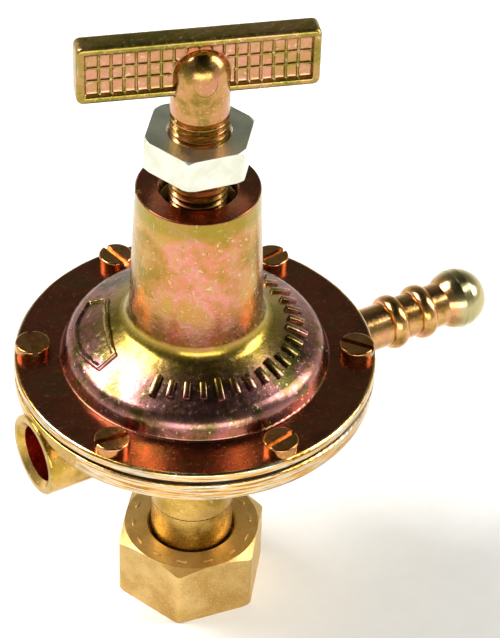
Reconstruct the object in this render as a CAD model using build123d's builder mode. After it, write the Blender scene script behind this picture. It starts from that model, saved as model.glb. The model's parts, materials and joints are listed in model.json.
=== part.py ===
from build123d import *
import os
from math import cos, pi, radians, sin, sqrt, tan

# Adjustable high-pressure gas regulator with a tee handle, built as the separate pieces it comes apart into.
#
# The regulator hangs on one vertical axis. From the bottom up: a swivelling union nut on a turned inlet nipple, a
# die-cast lower body that holds the valve and carries the hose barb (+X) and the gauge port (-X), a rubber diaphragm
# clamped between two flanges by six slotted screws, a die-cast bonnet with a tapering tower, and an adjusting screw
# with a lock nut and a riveted tee bar. Inside, the screw presses a spring cap, the spring presses the diaphragm, and
# the diaphragm pushes a pin that opens a poppet against its own small spring.
#
# Millimetres, +Z up. The origin is on the axis, at the underside of the inlet gasket, where the thread of the
# union nut ends: the face that meets the cylinder valve.

# ---- Driving dimensions -------------------------------------------------------------------------------------------
# Union nut and inlet
union_wall = 2.5  # from the thread's major diameter to the flats
union_height = 13.0
union_web = 2.4  # thickness of the top wall that hooks over the nipple's collar
union_web_gap = 0.4  # radial gap between that wall and the nipple
union_angle = -8.6  # where one corner stands at rest, in degrees
union_corner_radius = 1.3
union_foot_trim = 0.75  # radial, off the corners at the nut's lower end
inlet_thread_major = 20.0
inlet_thread_pitch = 25.4 / 14
inlet_chamfer = 0.75
gasket_thickness = 1.6
gasket_bore = 8.4
collar_thickness = 2.0
collar_lip = 1.04  # how far the collar stands out from the nipple
nipple_exposed = 7.2  # from the nut's top to the neck
nipple_stem_length = 9.0
nipple_bore = 6.0
filter_diameter = 8.0
filter_length = 3.0
o_ring_section = 1.2

# Lower body
neck_step = 0.1  # how far the neck stands out from the nipple
neck_wall = 1.8
neck_length = 11.0
body_height = 32.5  # from the neck's end to the clamping face
bowl_wall = 2.4
bowl_draft = 1.6
hub_diameter = 25.0
clamp_width = 9.1  # from the chamber's wall to the edge of the flanges
lower_flange_thickness = 4.1
lower_flange_step = 2.0  # depth of the upper band, above the parting line
lower_flange_set_back = 0.2  # how far the lower band stands inside the upper one
chamber_diameter = 46.0
chamber_depth = 8.4
outlet_drop = 7.6  # from the clamping face down to the axis of the barb
port_drop = 8.4  # from the clamping face down to the axis of the port

# Gauge port and hose barb
port_wall = 2.3
port_overhang = 0.35  # how far the port stands out past the flange
port_bore = 10.2  # tapping size for M12
port_depth = 8.4
port_mouth_chamfer = 1.1
outlet_wall = 1.6
barb_stub_step = 0.75
barb_stub_length = 6.5
barb_diameter = 8.3
barb_ring_height = 1.0
barb_ring_width = 3.2
barb_ring_first = 9.9  # from the outlet's face to the first ring
barb_ring_spacing = 6.2
barb_ball_diameter = 11.2
barb_ball_distance = 24.4  # from the outlet's face to the middle of the ball
barb_bore = 5.2
barb_lip = 0.8
barb_land = 1.6  # short cylinder at the ball's widest part

# Diaphragm stack
diaphragm_thickness = 0.8
diaphragm_rim_set_back = 0.7
diaphragm_roll_gap = 0.5  # from the rolled fold to the wall outside it and the plate inside it
upper_plate_diameter = 32.0
upper_plate_thickness = 1.2
upper_plate_boss = 1.5
lower_plate_diameter = 28.0
lower_plate_thickness = 1.0
centre_bolt_diameter = 4.9
centre_bolt_head_diameter = 7.0
centre_bolt_head = 1.65
centre_nut_across_flats = 8.0
centre_nut_height = 2.6

# Bonnet
upper_flange_thickness = 1.7
bell_overhang = 0.7  # from the chamber's wall out to the foot of the bell
bell_shoulder_inset = 0.9
bell_shoulder_height = 3.6
bell_foot_height = 9.0  # where the slope of the bell meets the tower
bell_wall = 2.2
tower_wall = 2.1
tower_taper = 1.2  # how far the wall leans out from the top to the foot
tower_height = 36.85
tower_thread_length = 10.5
tower_mouth_step = 1.65  # radial, from the thread out to the wall of the mouth
tower_mouth_depth = 3.0
tower_mouth_chamfer = 0.25
rim_nick = 0.9  # width of a small chip in the tower's rim
rim_nick_angle = 160.0
vent_diameter = 1.7
vent_angle = -33.0

# Cover screws
screw_count = 6
screw_inset = 3.4  # from the edge of the flanges to the screws' axes
screw_first_angle = 31.2
screw_diameter = 3.5
screw_head_diameter = 6.2
screw_head_height = 1.9
screw_slot_width = 1.0
screw_slot_depth = 0.95
screw_slot_angles = [7.0, -79.0, 73.0, -6.0, 11.0, -52.0]  # each slot stands where the driver left it

# Valve
seat_thread_diameter = 7.0
seat_head_across_flats = 9.0
seat_head_height = 2.0
seat_length = 6.8
seat_lip_width = 0.8
seat_lip_height = 0.6
seat_orifice = 3.2
poppet_across_corners = 8.6
poppet_clearance = 0.3
poppet_height = 4.0
poppet_tail_diameter = 3.8
poppet_tail_length = 2.6
pad_diameter = 6.4
pad_thickness = 1.5
pad_sunk = 0.5
pin_diameter = 1.7
poppet_spring_wire = 0.5
poppet_spring_diameter = 5.6  # at the middle of the wire
poppet_spring_turns = 5.5
poppet_spring_pocket = 3.0

# Range spring, cap, adjusting screw and lock nut
range_spring_wire = 2.0
range_spring_diameter = 13.2  # at the middle of the wire
range_spring_turns = 5.0
range_spring_length = 20.5
range_spring_clearance = 1.0  # radial, from the coils to the tower's bore
cap_clearance = 0.4
cap_thickness = 4.0
cap_spigot_length = 1.5
thread_diameter = 10.0
thread_pitch = 1.25
thread_exposed = 16.3  # from the tower's top to the plain shank
screw_pilot_diameter = 6.0
screw_pilot_length = 2.2
lock_nut_across_flats = 17.0
lock_nut_thickness = 6.0
lock_nut_gap = 5.8  # from the tower's top, at rest
lock_nut_mouth_chamfer = 0.5
lock_nut_trim = 0.55  # radial, off the corners at both ends
lock_nut_angle = -10.0

# Tee handle
handle_angle = -19.3
dome_centre_height = 23.8  # above the tower's top
bar_length = 40.4
bar_height = 10.9
bar_thickness = 4.2
bar_centre_height = 25.65
bar_offset = -0.55  # the bar isn't quite in the middle of the screw
bar_border = 1.7
bar_recess = 0.55  # from the border down to the top of the ribs
bar_pocket = 0.3  # from the top of the ribs down to the floor
bar_columns = 18
bar_rows = 3
bar_rib = 0.42
rivet_diameter = 3.9

# Clearances
running = 0.05  # radial, between a shaft and what it turns or slides in
seated = 0.02  # radial, between two pieces fixed together
axial_play = 0.05

# ---- Levels and radii worked out from them ------------------------------------------------------------------------
thread_depth = 0.6134 * thread_pitch
inlet_thread_minor = inlet_thread_major - 2 * 0.6403 * inlet_thread_pitch
union_across_flats = inlet_thread_major + 2 * union_wall
collar_diameter = inlet_thread_minor - 0.4
nipple_diameter = collar_diameter - 2 * collar_lip
neck_diameter = nipple_diameter + 2 * neck_step
nipple_stem_diameter = neck_diameter - 2 * neck_wall
barb_stub_diameter = barb_diameter + 2 * barb_stub_step
spring_bore = range_spring_diameter + range_spring_wire + 2 * range_spring_clearance
poppet_bore = poppet_across_corners + 2 * poppet_clearance

z_collar_bottom = gasket_thickness
z_collar_top = z_collar_bottom + collar_thickness
z_web_bottom = z_collar_top + axial_play
z_union_top = z_web_bottom + union_web
z_union_bottom = z_union_top - union_height
z_neck_bottom = z_union_top + nipple_exposed
z_clamp = z_neck_bottom + body_height
z_bonnet_bottom = z_clamp + diaphragm_thickness
z_flange_top = z_bonnet_bottom + upper_flange_thickness
z_tower_top = z_flange_top + tower_height
z_outlet = z_clamp - outlet_drop
z_port = z_clamp - port_drop

chamber_r = chamber_diameter / 2
flange_r = chamber_r + clamp_width
outlet_reach = flange_r - lower_flange_set_back
port_reach = flange_r + port_overhang
screw_circle_r = flange_r - screw_inset
chamber_floor = z_clamp - chamber_depth
bowl_bottom = chamber_floor - bowl_wall
z_lower_flange = z_clamp - lower_flange_thickness
z_neck_top = z_neck_bottom + neck_length

z_stem_top = z_neck_bottom + nipple_stem_length
z_spring_pocket = z_stem_top - poppet_spring_pocket
z_seat_shoulder = chamber_floor + 1.6  # top of the boss that the valve seat screws into
z_seat_bottom = z_seat_shoulder - seat_length
z_pad_top = z_seat_bottom - seat_lip_height
z_pad_bottom = z_pad_top - pad_thickness
z_poppet_top = z_pad_bottom + pad_sunk
z_poppet_bottom = z_poppet_top - poppet_height
z_pin_bottom = z_pad_bottom - 2.0

z_lower_plate = z_clamp - lower_plate_thickness
z_pusher = z_lower_plate - centre_bolt_head
z_upper_plate_top = z_bonnet_bottom + upper_plate_thickness
z_centre_nut = z_upper_plate_top + upper_plate_boss

z_cap_bottom = z_upper_plate_top + range_spring_length
z_cap_top = z_cap_bottom + cap_thickness
z_spring_ceiling = z_tower_top - tower_thread_length
z_thread_end = z_tower_top + thread_exposed
z_lock_nut = z_tower_top + lock_nut_gap
z_dome = z_tower_top + dome_centre_height
z_bar = z_tower_top + bar_centre_height

shank_r = thread_diameter / 2
corner_overhang = 1 / sqrt(3) - 1 / 2  # how far a hexagon's corner stands past its flat, as a share of the flats
# Local x runs along the tee bar and local y is up, so the plane's normal points out of the bar's front face.
turn = radians(handle_angle)
bar_plane = Plane(origin=(0, 0, z_bar), x_dir=(cos(turn), sin(turn), 0), z_dir=(sin(turn), -cos(turn), 0))
rivet_plane = bar_plane.offset(0).shift_origin((0, 0, z_dome))
fork_plane = Plane(origin=(0, 0, z_bar), x_dir=(-sin(turn), cos(turn), 0), z_dir=(cos(turn), sin(turn), 0))
bar_web = bar_thickness - 2 * (bar_recess + bar_pocket)
outlet_plane = Plane(origin=(outlet_reach, 0, z_outlet), x_dir=(0, 1, 0), z_dir=(1, 0, 0))
port_plane = Plane(origin=(-port_reach, 0, z_port), x_dir=(0, -1, 0), z_dir=(-1, 0, 0))


def nearest(shapes, point):
    """The one of some vertices or edges that is closest to a point."""
    return shapes.sort_by_distance(point)[0]


def groove_points(radius, pitch, depth, low, high):
    """Outline of a 60 degree screw thread shown as rings: (r, z) points from low up to high."""
    points = []
    flank = depth * tan(radians(30))
    turns = int((high - low) / pitch)
    start = high - turns * pitch
    for k in range(turns):
        z = start + k * pitch
        points += [
            (radius, z),
            (radius - depth, z + flank),
            (radius - depth, z + flank + pitch / 8),
            (radius, z + 2 * flank + pitch / 8),
        ]
    return points


def chamfer_cone(across_flats, low, high, low_trim, high_trim):
    """Envelope that trims a hexagon's corners, each end by its own radial depth, at 30 degrees to the ends."""
    corner = across_flats / sqrt(3)
    with BuildPart() as cone:
        with BuildSketch(Plane.XZ):
            with BuildLine():
                Polyline(
                    (0, low),
                    (corner - low_trim, low),
                    (corner + seated, low + (low_trim + seated) * tan(radians(30))),
                    (corner + seated, high - (high_trim + seated) * tan(radians(30))),
                    (corner - high_trim, high),
                    (0, high),
                    close=True,
                )
            make_face()
        revolve(axis=Axis.Z)
    return cone.part


def write(part, name):
    """Labels a finished piece and writes it as its own STEP file."""
    part.label = name
    export_step(part, f"parts/{name}.step")


os.makedirs("parts", exist_ok=True)

# ---- Inlet --------------------------------------------------------------------------------------------------------
inlet_r = inlet_thread_minor / 2
web_r = nipple_diameter / 2 + union_web_gap
undercut_r = inlet_thread_major / 2 - 0.5

with BuildPart() as union_nut:
    with BuildSketch(Plane.XY.offset(z_union_bottom)):
        RegularPolygon(union_across_flats / 2, 6, major_radius=False, rotation=union_angle)
    extrude(amount=union_height)
    fillet(union_nut.edges().filter_by(Axis.Z), union_corner_radius)
    top_trim = union_across_flats * corner_overhang
    cone = chamfer_cone(union_across_flats, z_union_bottom, z_union_top, union_foot_trim, top_trim)
    add(cone, mode=Mode.INTERSECT)
    with BuildSketch(Plane.XZ):
        with BuildLine():
            Polyline(
                (0, z_union_bottom),
                (inlet_r + inlet_chamfer, z_union_bottom),
                (inlet_r, z_union_bottom + inlet_chamfer),
                (inlet_r, 0),
                (undercut_r, undercut_r - inlet_r),
                (undercut_r, z_web_bottom),
                (web_r, z_web_bottom),
                (web_r, z_union_top - 0.35),
                (web_r + 0.35, z_union_top),
                (0, z_union_top),
                close=True,
            )
        make_face()
    revolve(axis=Axis.Z, mode=Mode.SUBTRACT)

with BuildPart() as inlet_gasket:
    with BuildSketch():
        Circle(collar_diameter / 2)
        Circle(gasket_bore / 2, mode=Mode.SUBTRACT)
    extrude(amount=gasket_thickness)

groove_r = nipple_stem_diameter / 2 - o_ring_section
groove_low = z_stem_top - 2 * o_ring_section - 0.6
with BuildPart() as inlet_nipple:
    with BuildSketch(Plane.XZ) as nipple_outline:
        with BuildLine():
            Polyline(
                (filter_diameter / 2, z_collar_bottom),
                (collar_diameter / 2, z_collar_bottom),
                (collar_diameter / 2, z_collar_top),
                (nipple_diameter / 2, z_collar_top),
                (nipple_diameter / 2, z_neck_bottom),
                (nipple_stem_diameter / 2, z_neck_bottom),
                (nipple_stem_diameter / 2, groove_low),
                (groove_r, groove_low),
                (groove_r, groove_low + 1.2 * o_ring_section),
                (nipple_stem_diameter / 2, groove_low + 1.2 * o_ring_section),
                (nipple_stem_diameter / 2, z_stem_top),
                (filter_diameter / 2, z_stem_top),
                (filter_diameter / 2, z_spring_pocket),
                (nipple_bore / 2, z_spring_pocket),
                (nipple_bore / 2, z_collar_bottom + filter_length),
                (filter_diameter / 2, z_collar_bottom + filter_length),
                close=True,
            )
        make_face()
        chamfer(nearest(nipple_outline.vertices(), (collar_diameter / 2, z_collar_bottom)), 0.3)
        chamfer(nearest(nipple_outline.vertices(), (nipple_stem_diameter / 2, z_stem_top)), 0.4)
    revolve(axis=Axis.Z)

with BuildPart() as inlet_filter:
    with BuildSketch(Plane.XY.offset(z_collar_bottom)):
        Circle(filter_diameter / 2 - seated)
    extrude(amount=filter_length)
    with BuildSketch(Plane.XY.offset(z_collar_bottom)):
        Circle(filter_diameter / 2 - 1.2)
    extrude(amount=filter_length - 1.0, mode=Mode.SUBTRACT)

with BuildPart() as nipple_o_ring:
    with BuildSketch(Plane.XZ):
        with Locations((groove_r + o_ring_section / 2, groove_low + 0.6 * o_ring_section)):
            Circle(o_ring_section / 2 - seated)
    revolve(axis=Axis.Z)

# ---- Lower body ---------------------------------------------------------------------------------------------------
neck_r = neck_diameter / 2
band_r = flange_r - lower_flange_set_back
bowl_r = chamber_r + bowl_wall
with BuildPart() as lower_body:
    with BuildSketch(Plane.XZ) as body_outline:
        with BuildLine():
            Polyline(
                (0, z_neck_bottom),
                (neck_r, z_neck_bottom),
                (neck_r, z_neck_top),
                (hub_diameter / 2, bowl_bottom - 2.0),
                (bowl_r - bowl_draft, bowl_bottom),
                (bowl_r, z_lower_flange),
                (band_r, z_lower_flange),
                (band_r, z_clamp - lower_flange_step),
                (flange_r, z_clamp - lower_flange_step),
                (flange_r, z_clamp),
                (0, z_clamp),
                close=True,
            )
        make_face()
        fillet(nearest(body_outline.vertices(), (neck_r, z_neck_top)), 5.0)
        fillet(nearest(body_outline.vertices(), (hub_diameter / 2, bowl_bottom - 2.0)), 4.0)
        fillet(nearest(body_outline.vertices(), (bowl_r - bowl_draft, bowl_bottom)), 3.5)
        fillet(nearest(body_outline.vertices(), (band_r, z_lower_flange)), 1.2)
        fillet(nearest(body_outline.vertices(), (flange_r, z_clamp)), 0.35)
        chamfer(nearest(body_outline.vertices(), (neck_r, z_neck_bottom)), 0.3)
    revolve(axis=Axis.Z)
    with BuildSketch(port_plane):
        Circle(port_bore / 2 + port_wall)
    extrude(amount=hub_diameter / 2 - 3.0 - port_reach)
    with BuildSketch(outlet_plane):
        Circle(barb_stub_diameter / 2 + outlet_wall)
    extrude(amount=hub_diameter / 2 - 3.0 - outlet_reach)
    with BuildSketch(Plane.XZ) as chamber_outline:
        with BuildLine():
            Polyline(
                (0, z_clamp),
                (chamber_r, z_clamp),
                (chamber_r, chamber_floor),
                (seat_head_across_flats / 2 + 2.6, chamber_floor),
                (seat_head_across_flats / 2 + 1.4, z_seat_shoulder),
                (0, z_seat_shoulder),
                close=True,
            )
        make_face()
        fillet(nearest(chamber_outline.vertices(), (chamber_r, chamber_floor)), 2.5)
    revolve(axis=Axis.Z, mode=Mode.SUBTRACT)
    with BuildSketch(Plane.XZ):
        with BuildLine():
            Polyline(
                (0, z_neck_bottom),
                (nipple_stem_diameter / 2 + seated, z_neck_bottom),
                (nipple_stem_diameter / 2 + seated, z_stem_top + 0.5),
                (poppet_bore / 2, z_stem_top + 1.5),
                (poppet_bore / 2, z_seat_bottom),
                (seat_thread_diameter / 2 + seated, z_seat_bottom + 0.8),
                (seat_thread_diameter / 2 + seated, z_seat_shoulder),
                (0, z_seat_shoulder),
                close=True,
            )
        make_face()
    revolve(axis=Axis.Z, mode=Mode.SUBTRACT)
    with BuildSketch(port_plane):
        Circle(port_bore / 2)
    extrude(amount=-port_depth, mode=Mode.SUBTRACT)
    with BuildSketch(port_plane):
        Circle(barb_bore / 2)
    extrude(amount=chamber_r - 2.0 - port_reach, mode=Mode.SUBTRACT)
    port_edges = lower_body.edges().filter_by(GeomType.CIRCLE).group_by(Axis.X)[0].sort_by(SortBy.RADIUS)
    fillet(port_edges[-1], 0.4)
    port_edges = lower_body.edges().filter_by(GeomType.CIRCLE).group_by(Axis.X)[0].sort_by(SortBy.RADIUS)
    chamfer(port_edges[0], port_mouth_chamfer)
    with BuildSketch(outlet_plane):
        Circle(barb_stub_diameter / 2 + seated)
    extrude(amount=-barb_stub_length, mode=Mode.SUBTRACT)
    with BuildSketch(outlet_plane):
        Circle(barb_bore / 2)
    extrude(amount=chamber_r - 2.0 - outlet_reach, mode=Mode.SUBTRACT)
    with BuildSketch(Plane.XY.offset(z_clamp)):
        with PolarLocations(screw_circle_r, screw_count, start_angle=screw_first_angle):
            Circle(screw_diameter / 2 + seated)
    extrude(amount=-lower_flange_thickness, mode=Mode.SUBTRACT)

# ---- Hose barb ----------------------------------------------------------------------------------------------------
barb_r = barb_diameter / 2
ball_r = barb_ball_diameter / 2
barb_end = barb_ball_distance + sqrt(ball_r**2 - (barb_bore / 2 + barb_lip) ** 2)
with BuildPart() as hose_barb:
    with BuildSketch(Plane.XZ):
        with BuildLine():
            Polyline(
                (-barb_stub_length, barb_bore / 2),
                (-barb_stub_length, barb_stub_diameter / 2),
                (0, barb_stub_diameter / 2),
                (0, barb_r),
                (barb_ball_distance, barb_r),
                (barb_ball_distance, barb_bore / 2),
                close=True,
            )
        make_face()
        with Locations((barb_ball_distance, 0)):
            Circle(ball_r)
            Rectangle(barb_land, 2 * ball_r)
        with Locations((barb_ring_first, barb_r), (barb_ring_first + barb_ring_spacing, barb_r)):
            Ellipse(barb_ring_width / 2, barb_ring_height)
        with Locations((barb_end, 0)):
            Rectangle(ball_r, 2 * ball_r, align=(Align.MIN, Align.CENTER), mode=Mode.SUBTRACT)
        with Locations((barb_ball_distance, barb_bore / 2)):
            Rectangle(4 * barb_ball_distance, 2 * ball_r, align=(Align.CENTER, Align.MAX), mode=Mode.SUBTRACT)
    revolve(axis=Axis.X)
hose_barb_part = Pos(outlet_reach, 0, z_outlet) * hose_barb.part

# ---- Valve --------------------------------------------------------------------------------------------------------
with BuildPart() as valve_seat:
    with BuildSketch(Plane.XY.offset(z_seat_shoulder)):
        RegularPolygon(seat_head_across_flats / 2, 6, major_radius=False)
    extrude(amount=seat_head_height)
    with BuildSketch(Plane.XY.offset(z_seat_bottom)):
        Circle(seat_thread_diameter / 2)
    extrude(amount=seat_length)
    with BuildSketch(Plane.XY.offset(z_pad_top)):
        Circle(seat_orifice / 2 + seat_lip_width)
    extrude(amount=seat_lip_height)
    with BuildSketch(Plane.XY.offset(z_pad_top)):
        Circle(seat_orifice / 2)
    extrude(amount=seat_length + seat_lip_height + seat_head_height, mode=Mode.SUBTRACT)

with BuildPart() as poppet:
    with BuildSketch(Plane.XY.offset(z_poppet_bottom)):
        RegularPolygon(poppet_across_corners / 2, 3)
        Circle(pad_diameter / 2 + 0.5)
    extrude(amount=poppet_height)
    with BuildSketch(Plane.XY.offset(z_poppet_bottom)):
        Circle(poppet_tail_diameter / 2)
    extrude(amount=-poppet_tail_length)
    with BuildSketch(Plane.XY.offset(z_pad_bottom)):
        Circle(pad_diameter / 2 + seated)
    extrude(amount=poppet_height, mode=Mode.SUBTRACT)
    with BuildSketch(Plane.XY.offset(z_pin_bottom)):
        Circle(pin_diameter / 2 + seated)
    extrude(amount=poppet_height, mode=Mode.SUBTRACT)

with BuildPart() as valve_pad:
    with BuildSketch(Plane.XY.offset(z_pad_bottom)):
        Circle(pad_diameter / 2)
        Circle(pin_diameter / 2 + seated, mode=Mode.SUBTRACT)
    extrude(amount=pad_thickness)

with BuildPart() as valve_pin:
    with BuildSketch(Plane.XY.offset(z_pin_bottom)):
        Circle(pin_diameter / 2)
    extrude(amount=z_pusher - axial_play - z_pin_bottom)

poppet_spring_height = z_poppet_bottom - z_spring_pocket - poppet_spring_wire - 2 * axial_play
with BuildPart() as poppet_spring:
    with BuildLine():
        poppet_coil = Helix(
            pitch=poppet_spring_height / poppet_spring_turns,
            height=poppet_spring_height,
            radius=poppet_spring_diameter / 2,
            center=(0, 0, z_spring_pocket + poppet_spring_wire / 2 + axial_play),
        )
    with BuildSketch(Plane(origin=poppet_coil @ 0, z_dir=poppet_coil % 0)):
        Circle(poppet_spring_wire / 2)
    sweep(path=poppet_coil, is_frenet=True)

# ---- Diaphragm stack ----------------------------------------------------------------------------------------------
plate_r = upper_plate_diameter / 2
roll_centre_r = (plate_r + chamber_r) / 2
roll_r = (chamber_r - plate_r) / 2 - diaphragm_thickness - diaphragm_roll_gap
rim_r = flange_r - diaphragm_rim_set_back
with BuildPart() as diaphragm:
    with BuildSketch(Plane.XZ) as sheet_outline:
        with Locations(((centre_bolt_diameter / 2 + rim_r) / 2, z_clamp + diaphragm_thickness / 2)):
            Rectangle(rim_r - centre_bolt_diameter / 2, diaphragm_thickness)
        with Locations((roll_centre_r, z_clamp)):
            Circle(roll_r + diaphragm_thickness)
            Circle(roll_r, mode=Mode.SUBTRACT)
            Rectangle(2 * chamber_r, 2 * chamber_r, align=(Align.CENTER, Align.MAX), mode=Mode.SUBTRACT)
    revolve(axis=Axis.Z)
    with BuildSketch(Plane.XY.offset(z_clamp)):
        with PolarLocations(screw_circle_r, screw_count, start_angle=screw_first_angle):
            Circle(screw_diameter / 2 + running)
    extrude(amount=diaphragm_thickness, mode=Mode.SUBTRACT)

spring_inner_r = (range_spring_diameter - range_spring_wire) / 2
with BuildPart() as spring_plate:
    with BuildSketch(Plane.XZ) as plate_outline:
        with BuildLine():
            Polyline(
                (centre_bolt_diameter / 2 + seated, z_bonnet_bottom),
                (plate_r, z_bonnet_bottom),
                (plate_r, z_upper_plate_top),
                (spring_inner_r - 0.3, z_upper_plate_top),
                (spring_inner_r - 0.6, z_centre_nut),
                (centre_bolt_diameter / 2 + seated, z_centre_nut),
                close=True,
            )
        make_face()
        fillet(nearest(plate_outline.vertices(), (plate_r, z_bonnet_bottom)), 0.5)
    revolve(axis=Axis.Z)

with BuildPart() as backing_plate:
    with BuildSketch(Plane.XY.offset(z_lower_plate)):
        Circle(lower_plate_diameter / 2)
        Circle(centre_bolt_diameter / 2 + seated, mode=Mode.SUBTRACT)
    extrude(amount=lower_plate_thickness)
    fillet(backing_plate.edges().group_by(Axis.Z)[-1].sort_by(SortBy.RADIUS)[-1], 0.4)

with BuildPart() as centre_bolt:
    with BuildSketch(Plane.XY.offset(z_pusher)):
        Circle(centre_bolt_head_diameter / 2)
    extrude(amount=centre_bolt_head)
    chamfer(centre_bolt.edges().group_by(Axis.Z)[0], 0.4)
    with BuildSketch(Plane.XY.offset(z_lower_plate)):
        Circle(centre_bolt_diameter / 2)
    extrude(amount=z_centre_nut + centre_nut_height - z_lower_plate)
    chamfer(centre_bolt.edges().group_by(Axis.Z)[-1], 0.4)

with BuildPart() as centre_nut:
    with BuildSketch(Plane.XY.offset(z_centre_nut)):
        RegularPolygon(centre_nut_across_flats / 2, 6, major_radius=False)
        Circle(centre_bolt_diameter / 2 + seated, mode=Mode.SUBTRACT)
    extrude(amount=centre_nut_height - 0.3)

# ---- Bonnet -------------------------------------------------------------------------------------------------------
bell_r = chamber_r + bell_overhang
shoulder_r = bell_r - bell_shoulder_inset
top_r = spring_bore / 2 + tower_wall
foot_r = top_r + tower_taper
z_shoulder = z_flange_top + bell_shoulder_height
z_foot = z_flange_top + bell_foot_height
inner_r = spring_bore / 2
bell_slope = (z_foot - z_shoulder) / (shoulder_r - foot_r)
mouth_r = shank_r + running + tower_mouth_step
z_inner_shoulder = z_shoulder - bell_wall
z_inner_foot = z_inner_shoulder + bell_slope * (shoulder_r - bell_wall - inner_r)
with BuildPart() as bonnet:
    with BuildSketch(Plane.XZ) as bonnet_outline:
        with BuildLine():
            Polyline(
                (0, z_bonnet_bottom),
                (flange_r, z_bonnet_bottom),
                (flange_r, z_flange_top),
                (bell_r, z_flange_top),
                (shoulder_r, z_shoulder),
                (foot_r, z_foot),
                (top_r, z_tower_top),
                (0, z_tower_top),
                close=True,
            )
        make_face()
        fillet(nearest(bonnet_outline.vertices(), (flange_r, z_bonnet_bottom)), 0.3)
        fillet(nearest(bonnet_outline.vertices(), (flange_r, z_flange_top)), 0.6)
        fillet(nearest(bonnet_outline.vertices(), (bell_r, z_flange_top)), 0.5)
        fillet(nearest(bonnet_outline.vertices(), (shoulder_r, z_shoulder)), 3.8)
        fillet(nearest(bonnet_outline.vertices(), (foot_r, z_foot)), 3.2)
        fillet(nearest(bonnet_outline.vertices(), (top_r, z_tower_top)), 0.25)
    revolve(axis=Axis.Z)
    with BuildSketch(Plane.XZ) as cavity_outline:
        with BuildLine():
            Polyline(
                (0, z_bonnet_bottom),
                (chamber_r, z_bonnet_bottom),
                (shoulder_r - bell_wall / 2, z_inner_shoulder),
                (inner_r, z_inner_foot),
                (inner_r, z_spring_ceiling),
                (shank_r + running, z_spring_ceiling),
                (shank_r + running, z_tower_top - tower_mouth_depth - tower_mouth_step / 2),
                (mouth_r, z_tower_top - tower_mouth_depth),
                (mouth_r, z_tower_top - tower_mouth_chamfer),
                (mouth_r + tower_mouth_chamfer, z_tower_top),
                (0, z_tower_top),
                close=True,
            )
        make_face()
        fillet(nearest(cavity_outline.vertices(), (inner_r, z_inner_foot)), 2.0)
        fillet(nearest(cavity_outline.vertices(), (shoulder_r - bell_wall / 2, z_inner_shoulder)), 1.2)
    revolve(axis=Axis.Z, mode=Mode.SUBTRACT)
    with BuildSketch(Plane.XY.offset(z_flange_top)):
        with PolarLocations(screw_circle_r, screw_count, start_angle=screw_first_angle):
            Circle(screw_diameter / 2 + 3 * running)
    extrude(amount=-upper_flange_thickness, mode=Mode.SUBTRACT)
    vent = radians(vent_angle)
    vent_z = z_flange_top + vent_diameter * 0.8
    vent_plane = Plane(origin=(0, 0, vent_z), z_dir=(cos(vent), sin(vent), 0))
    with BuildSketch(vent_plane.offset(shoulder_r - 3 * bell_wall)):
        Circle(vent_diameter / 2)
    extrude(amount=4 * bell_wall, mode=Mode.SUBTRACT)
    nick = radians(rim_nick_angle)
    nick_plane = Plane(origin=(0, 0, z_tower_top), z_dir=(cos(nick), sin(nick), 0))
    with BuildSketch(nick_plane.offset(top_r - rim_nick)):
        Circle(rim_nick / 2)
    extrude(amount=2 * rim_nick, mode=Mode.SUBTRACT)

# ---- Cover screws -------------------------------------------------------------------------------------------------
screw_length = upper_flange_thickness + diaphragm_thickness + lower_flange_thickness - 0.4
cover_screws = []
for number, slot_angle in enumerate(screw_slot_angles):
    bearing = radians(screw_first_angle + number * 360 / screw_count)
    spot = (screw_circle_r * cos(bearing), screw_circle_r * sin(bearing))
    with BuildPart() as cover_screw:
        with BuildSketch(Plane.XY.offset(z_flange_top)):
            with Locations(spot):
                Circle(screw_head_diameter / 2)
        extrude(amount=screw_head_height)
        fillet(cover_screw.edges().group_by(Axis.Z)[-1], 0.35)
        with BuildSketch(Plane.XY.offset(z_flange_top)):
            with Locations(spot):
                Circle(screw_diameter / 2)
        extrude(amount=-screw_length)
        chamfer(cover_screw.edges().group_by(Axis.Z)[0], 0.4)
        with BuildSketch(Plane.XY.offset(z_flange_top + screw_head_height)):
            with Locations(spot):
                Rectangle(screw_head_diameter + 1, screw_slot_width, rotation=slot_angle)
        extrude(amount=-screw_slot_depth, mode=Mode.SUBTRACT)
    cover_screws.append(cover_screw.part)

# ---- Range spring and cap -----------------------------------------------------------------------------------------
range_spring_height = range_spring_length - range_spring_wire - 2 * axial_play
with BuildPart() as range_spring:
    with BuildLine():
        range_coil = Helix(
            pitch=range_spring_height / range_spring_turns,
            height=range_spring_height,
            radius=range_spring_diameter / 2,
            center=(0, 0, z_upper_plate_top + range_spring_wire / 2 + axial_play),
        )
    with BuildSketch(Plane(origin=range_coil @ 0, z_dir=range_coil % 0)):
        Circle(range_spring_wire / 2)
    sweep(path=range_coil, is_frenet=True)

with BuildPart() as spring_cap:
    with BuildSketch(Plane.XY.offset(z_cap_bottom)):
        Circle(spring_bore / 2 - cap_clearance)
    extrude(amount=cap_thickness)
    fillet(spring_cap.edges().group_by(Axis.Z)[-1], 0.6)
    with BuildSketch(Plane.XY.offset(z_cap_bottom)):
        Circle(spring_inner_r - 0.3)
    extrude(amount=-cap_spigot_length, taper=8)
    with BuildSketch(Plane.XY.offset(z_cap_top)):
        Circle(screw_pilot_diameter / 2 + running)
    extrude(amount=-screw_pilot_length - axial_play, mode=Mode.SUBTRACT)

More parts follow.
